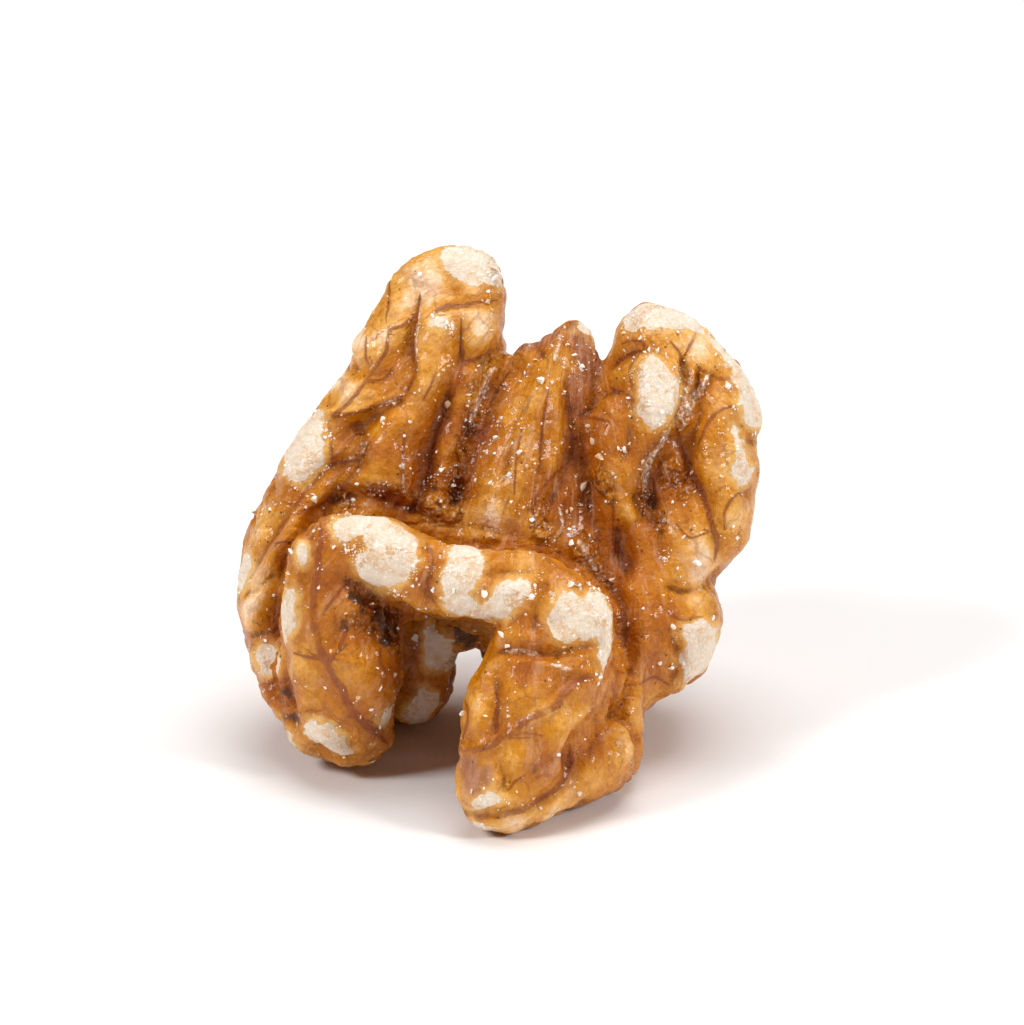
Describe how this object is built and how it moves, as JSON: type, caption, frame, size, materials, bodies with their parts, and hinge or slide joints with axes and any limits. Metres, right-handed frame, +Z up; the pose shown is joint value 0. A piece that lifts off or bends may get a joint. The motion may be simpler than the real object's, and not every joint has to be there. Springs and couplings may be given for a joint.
{
  "type": "walnut kernel half",
  "caption": "Shelled walnut kernel half with its ridged inner face, wrinkled outer side and a basal arch on two legs, standing on its base.",
  "frame": {"origin": "bottom centre of the kernel's own box, on the surface that it stands on", "axes": "+X across the inner face, left wing to right wing; +Y from the inner face to the outer side; +Z up"},
  "size_m": [0.0329, 0.0296, 0.0298],
  "materials": {
    "skin": "amber seed coat, satin, rubbed to pale flesh on its high spots"
  },
  "bodies": {
    "root": {"kernel": "skin"}
  },
  "joints": []
}
